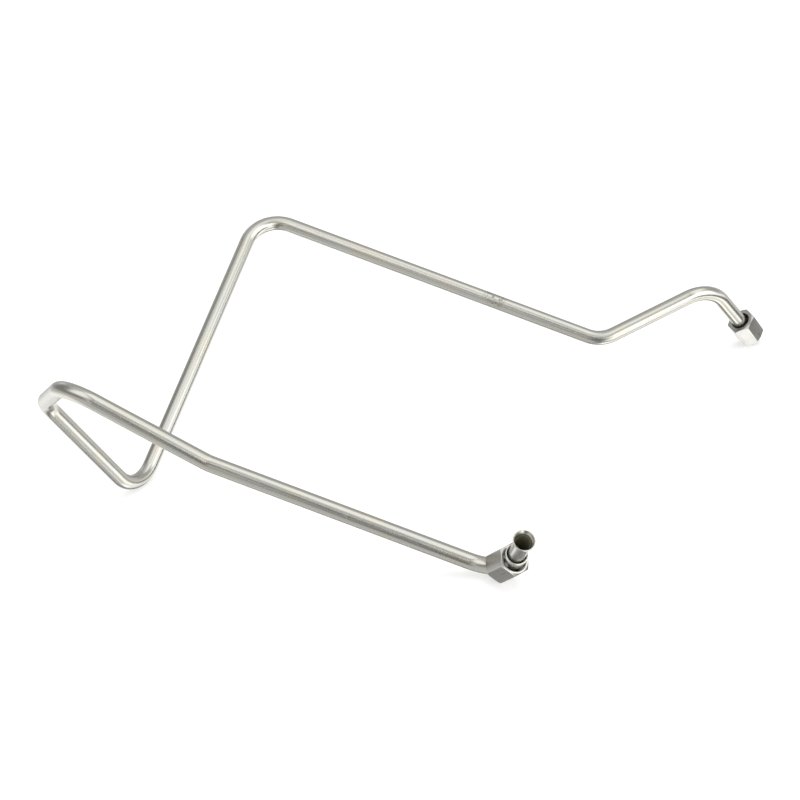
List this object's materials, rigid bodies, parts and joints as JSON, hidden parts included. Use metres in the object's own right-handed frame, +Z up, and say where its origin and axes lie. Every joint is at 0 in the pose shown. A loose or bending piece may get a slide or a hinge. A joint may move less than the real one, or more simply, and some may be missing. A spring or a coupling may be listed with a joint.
{
  "type": "hydraulic tube",
  "caption": "Bent steel hydraulic tube with flared ends, each carrying a loose sleeve and a hexagonal tube nut.",
  "frame": {"origin": "middle of the part in plan, at the height of what it lies on", "axes": "+Z up as the part lies, +X midway between the two long runs in plan, towards the nuts; +Y from the near run to the far run"},
  "size_m": [0.5305, 0.4689, 0.1593],
  "materials": {
    "tube_steel": "satin bright plated steel tube",
    "sleeve_steel": "bright turned and plated steel",
    "nut_steel": "smooth plated steel"
  },
  "bodies": {
    "tube": {"tube": "tube_steel"},
    "near_sleeve": {"near_sleeve": "sleeve_steel"},
    "near_nut": {"near_nut": "nut_steel"},
    "far_sleeve": {"far_sleeve": "sleeve_steel"},
    "far_nut": {"far_nut": "nut_steel"}
  },
  "joints": [
    {"name": "near_sleeve_slide", "type": "slide", "parent": "tube", "child": "near_sleeve", "axis": [0.3571, -0.555, 0.7513], "range_m": [0, 0.024]},
    {"name": "near_nut_spin", "type": "hinge", "parent": "tube", "child": "near_nut", "pos_m": [0.09795, -0.19574, 0.00889], "axis": [0.6269, -0.5145, 0.585], "continuous": true},
    {"name": "far_sleeve_slide", "type": "slide", "parent": "tube", "child": "far_sleeve", "axis": [-0.3738, -0.5027, 0.7795], "range_m": [0, 0.0354]},
    {"name": "far_nut_spin", "type": "hinge", "parent": "far_sleeve", "child": "far_nut", "pos_m": [0.24567, 0.21322, 0.02562], "axis": [0.3367, 0.4915, -0.8032], "continuous": true}
  ]
}
